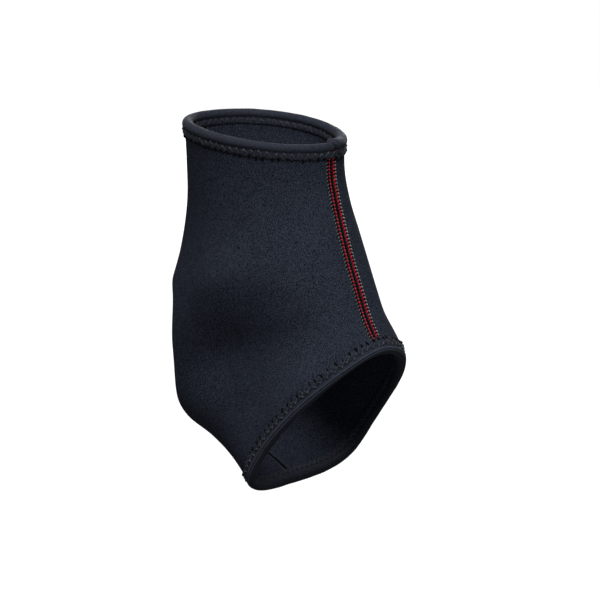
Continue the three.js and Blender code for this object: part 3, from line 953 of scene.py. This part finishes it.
def tape(name, rim, finish, seed):
    """The folded tape over one rim, drawn in by the zigzag stitch that holds it."""
    low, high = rim_ends(rim)
    whole = high - low
    turn = low + np.arange(TAPE_COLUMNS) * whole / TAPE_COLUMNS
    tops, high_up, feet, deep = rim_stitches(rim, seed)
    rng = np.random.default_rng(seed + 5)
    wave = sum(
        rng.uniform(0.4, 1) * np.sin(2 * math.pi * k * (turn - low) / whole + rng.uniform(0, 7))
        for k in WAVE_COUNTS) * WAVE
    arc = np.linspace(math.pi / 2, -math.pi / 2, ROLL_POINTS)
    face = np.concatenate([FLAT, -ROLL * np.cos(arc), FLAT[::-1]])
    cover = flat_cover()
    depth = np.tile(face, (TAPE_COLUMNS, 1))
    turns = np.tile(turn[:, None], (1, len(face)))
    height = np.tile(np.concatenate([cover, ROLL * np.sin(arc), -cover[::-1]]), (TAPE_COLUMNS, 1))
    flat_turns, flat_depths = turns[:, ON_OUTER], depth[:, ON_OUTER]
    at_tops = dimples(flat_turns, flat_depths, tops, high_up, TOP_DIMPLE, whole)
    at_feet = dimples(flat_turns, flat_depths, feet, deep, FOOT_DIMPLE, whole)
    height[:, ON_OUTER] -= OUTER_TOP_PULL * at_tops + OUTER_FOOT_PULL * at_feet
    height[:, ON_INNER] += (INNER_TOP_PULL * at_tops + INNER_FOOT_PULL * at_feet)[:, ::-1]
    edge_depth = np.full((TAPE_COLUMNS, 1), ZIGZAG_FOOT)
    held = dimples(turn[:, None], edge_depth, feet, ZIGZAG_FOOT, EDGE_DRAW_SPREAD, whole)
    near_edge = np.clip((FLAT - DRAWN_FROM) / DRAWN_OVER, 0, 1)
    depth[:, ON_OUTER] += (EDGE_SLACK - EDGE_DRAW * held) * near_edge
    roll = 1 + wave[:, None] / ROLL
    if rim == FOOT:
        roll = roll * np.interp(arc, FOLD_ANGLES, FOLD_SHARES)
    depth[:, ON_ROLL] *= roll
    height[:, ON_ROLL] *= roll
    if rim == LEG:
        depth, height = lapped(turns, depth, height)
    skin = rim_place(rim, turns, depth, height)
    arc_in = np.linspace(math.pi / 2, -math.pi / 2, 7)[1:-1]
    depth_in = np.concatenate([LINING_DEPTHS, -LINING_ROLL * np.cos(arc_in), LINING_DEPTHS[::-1]])
    height_in = np.concatenate([[LINING_HEIGHT] * 3, LINING_ROLL * np.sin(arc_in), [-LINING_HEIGHT] * 3])
    lining = rim_place(rim, turn[:, None], depth_in, height_in)
    rings = np.concatenate([skin, lining[:, ::-1]], axis=1)
    size = rings.shape[1]
    maps = np.zeros((TAPE_COLUMNS, size, 2))
    maps[:, :len(face), 0] = runs_along(np.stack([face, height[0]], axis=1))
    maps[:, len(face):, 0] = LINING_MAP
    maps[:, :, 1] = (turn - low)[:, None]
    points = rings.reshape(-1, 3)
    obj = mesh_object(name, points, hoop_faces(points, TAPE_COLUMNS, size), uv=maps.reshape(-1, 2))
    obj.data.materials.append(finish)
    return obj


# The zigzag threads

# Black marks at the zigzag's lower points, where the thread pulls the tape in, are painted shadow.
SHADOW_MARK_STITCH = stitch(length=1.85, width=0.95, rise=0.3, sink=0.3, taper=0.5, unevenness=0.5)
# Caps at the zigzag's upper turns are painted highlight.
CAP_STITCH = stitch(length=1.5, width=0.5, rise=0.25, sink=0.3, taper=0.3, unevenness=0.45)
TACK_STITCH = stitch(length=2.0, width=0.55, rise=0.3, sink=0.4, taper=0.3, unevenness=0.25)
SPECK_STITCH = stitch(length=0.75, width=0.3, rise=0.2, sink=0.2, taper=0.3)
SPAN = 4.4  # of a zigzag leg before it is stretched to its own length
SPAN_STITCH = stitch(length=SPAN, width=0.44, rise=0.22, sink=0.3, taper=0.2, unevenness=0.25)
OVERLAP = 1.04  # how much longer a leg is than the way between its ends
# Heights of the painted shadow marks, of the painted highlight caps and of the tacks.
SHADOW_MARK_HEIGHT, CAP_HEIGHT, TACK_HEIGHT = 2.0, 2.42, 2.75
OUTER_SEAT, INNER_SEAT = 2.45, 2.4  # heights of a leg's upper end on each face
FOOT_SINK = 0.5  # how much nearer the wall its lower end is
TACKS = 12


def rim_seats(rim, start, toward, height):
    """Seats near a rim, each at a start turn and depth, with the way ahead to a second turn and depth."""
    here = rim_place(rim, *start, height)
    out = unit(rim_place(rim, *start, height + 1.0) - here)
    return here, out, unit(rim_place(rim, *toward, height) - here)


def lap_tacks(name, rng, seed):
    """A cluster of stitches that holds the leg tape's lapped end, with one end of red cord among them."""
    depth = np.linspace(0.8, 5.0, TACKS)
    turn = lap_edge(depth) + rng.uniform(-0.9, 0.5, TACKS)
    toward = turn + rng.uniform(0.2, 1, TACKS), depth + rng.uniform(-1, 1, TACKS)
    seats = rim_seats(LEG, (turn, depth), toward, TACK_HEIGHT)
    pieces = []
    for start, finish in ((0, BLACK), (1, CHARCOAL)):
        every_other = [part[start::2] for part in seats]
        pieces.append(stitched(f"{name}_tack_{start}", every_other, finish, TACK_STITCH, seed))
    speck = rim_seats(LEG, ([1.9], [1.7]), ([2.2], [2.6]), TACK_HEIGHT)
    pieces.append(stitched(f"{name}_speck", speck, RED, SPECK_STITCH, 1))
    return pieces


def zigzag(name, rim, seed):
    """The zigzag thread of a tape on both faces, black marks of painted shadow at its lower points, and
    lighter caps of painted highlight at its turns at the top.
    """
    tops, high_up, feet, deep = rim_stitches(rim, seed)
    low, high = rim_ends(rim)
    whole = high - low
    rng = np.random.default_rng(seed + 9)
    # Black marks of painted shadow at the lower points.
    painted_shadows = rim_seats(rim, (feet, deep - 0.6), (feet, deep - 0.1), SHADOW_MARK_HEIGHT)
    # Caps of the lighter thread copy at the upper turns: painted highlight.
    cap_toward = tops + rng.uniform(-0.7, 0.7, len(tops)), high_up + 1.0
    caps = rim_seats(rim, (tops, high_up + 0.45), cap_toward, CAP_HEIGHT)
    pieces = [
        stitched(f"{name}_holes", painted_shadows, BLACK, SHADOW_MARK_STITCH, seed + 7),
        stitched(f"{name}_caps", caps, ZIGZAG_HIGHLIGHT, CAP_STITCH, seed + 8),
    ]
    if rim == LEG:
        pieces += lap_tacks(name, rng, seed + 10)
    turns = np.stack([tops, feet], axis=1).ravel()
    depths = np.stack([high_up, deep - 0.7], axis=1).ravel()
    turns = np.append(turns, turns[0] + whole)
    depths = np.append(depths, depths[0])
    middle_turn, middle_depth = (turns[:-1] + turns[1:]) / 2, (depths[:-1] + depths[1:]) / 2
    wrapped, middle_turn = (np.where(turn > high, turn - whole, turn) for turn in (turns, middle_turn))
    for face, seat in ((1, OUTER_SEAT), (-1, INNER_SEAT)):
        lift = np.where(np.arange(len(turns)) % 2 == 0, seat, seat - FOOT_SINK)
        ends = rim_place(rim, wrapped, depths, face * lift)
        legs = np.diff(ends, axis=0)
        near = rim_place(rim, middle_turn, middle_depth, face * 2.0)
        out = unit(rim_place(rim, middle_turn, middle_depth, face * 3.0) - near)
        seats = (ends[:-1] + ends[1:]) / 2, out, unit(legs)
        stretch = np.linalg.norm(legs, axis=1) / SPAN * OVERLAP
        pieces.append(stitched(f"{name}_{face}", seats, CHARCOAL, SPAN_STITCH, seed + face, stretch))
    return joined(name, pieces)


leg_tape = tape("leg_tape", LEG, TAPE_CLOTH, 101)
foot_tape = tape("foot_tape", FOOT, FOLDED_TAPE, 202)
leg_zigzag = zigzag("leg_tape_zigzag", LEG, 101)
foot_zigzag = zigzag("foot_tape_zigzag", FOOT, 202)

for piece, node, slot in (
    (outer_jersey, "outer_panel", "neoprene"),
    (inner_jersey, "inner_panel", "neoprene"),
    (leg_tape, "leg_binding", "binding_tape"),
    (foot_tape, "foot_binding", "binding_tape"),
    (leg_zigzag, "leg_binding", "seam_thread"),
    (foot_zigzag, "foot_binding", "seam_thread"),
):
    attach(piece, "root")
    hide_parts(node)

# The studio

FLOOR_LEVEL = -121.5
FLOOR_GLOW = 0.97
ROOM = 0.12  # how strongly the white room lights the brace
WHITE = (1, 1, 1, 1)


def studio_floor():
    """A wide floor under the brace, which is held up a little above it.

    It looks white by its own light, which only the camera sees. Its dark base bounces little to the brace.
    """
    corners = [[x, y, FLOOR_LEVEL] for x, y in ((-4000, -4000), (4000, -4000), (4000, 6000), (-4000, 6000))]
    floor = mesh_object("studio_floor", corners, [[0, 1, 2, 3]], smooth=False)
    made, tree, shader = material("pale_floor", 0.9, 0.1, 0.0)
    where = add(tree, "ShaderNodeTexCoord").outputs["Object"]
    grain = noise(tree, where, 30.0, 2.0, 0.5)
    tree.links.new(colours(tree, grain, (0.12, 0.12, 0.12, 1), (0.14, 0.14, 0.14, 1)), shader["Base Color"])
    shader["Emission Color"].default_value = WHITE
    seen = add(tree, "ShaderNodeLightPath").outputs["Is Camera Ray"]
    tree.links.new(maths(tree, "MULTIPLY", seen, FLOOR_GLOW), shader["Emission Strength"])
    floor.data.materials.append(made)


def white_room():
    """A room that looks white to the camera and lights the brace softly from all round."""
    world = bpy.data.worlds.new("studio")
    world.use_nodes = True
    tree = world.node_tree
    seen = add(tree, "ShaderNodeLightPath").outputs["Is Camera Ray"]
    background = tree.nodes["Background"].inputs
    background["Color"].default_value = WHITE
    tree.links.new(maths(tree, "MULTIPLY_ADD", seen, 1 - ROOM, ROOM), background["Strength"])
    bpy.context.scene.world = world


def soft_light(name, place, target, size, power):
    """A white area light that faces a target: its place in millimetres, size in metres, power in watts."""
    data = bpy.data.lights.new(name, "AREA")
    data.shape = "DISK"
    data.size = size
    data.energy = power
    obj = bpy.data.objects.new(name, data)
    bpy.context.scene.collection.objects.link(obj)
    place, target = Vector(place) * MM, Vector(target) * MM
    obj.location = place
    obj.rotation_euler = (target - place).to_track_quat("-Z", "Y").to_euler()


AZIMUTH, ELEVATION, DISTANCE = math.radians(-50), math.radians(12), 1500
LENS, SENSOR = 177.3, 36
TARGET = Vector((0, -15.9, -2.9))
look = Vector((
    -math.sin(AZIMUTH) * math.cos(ELEVATION), math.cos(AZIMUTH) * math.cos(ELEVATION), -math.sin(ELEVATION)))
right = Vector((math.cos(AZIMUTH), math.sin(AZIMUTH), 0))
up = right.cross(look)

camera_data = bpy.data.cameras.new("camera")
camera_data.sensor_width = SENSOR
camera_data.lens = LENS
camera_data.clip_end = 50
camera = bpy.data.objects.new("camera", camera_data)
bpy.context.scene.collection.objects.link(camera)
camera.location = (TARGET - look * DISTANCE) * MM
camera.rotation_euler = look.to_track_quat("-Z", "Y").to_euler()
bpy.context.scene.camera = camera

studio_floor()
soft_light("front", TARGET - look * 1300 + right * 150 + up * 900, TARGET, 0.6, 18.86)
soft_light("top", TARGET - look * 350 - right * 50 + up * 1400, TARGET, 0.5, 13.36)
soft_light("left_high", TARGET - look * 100 - right * 950 + up * 1000, TARGET, 0.5, 3.2)
soft_light("behind", TARGET + look * 1200 + right * 120 + up * 400, TARGET, 0.8, 10.0)
white_room()
bpy.context.scene.view_settings.view_transform = "Standard"
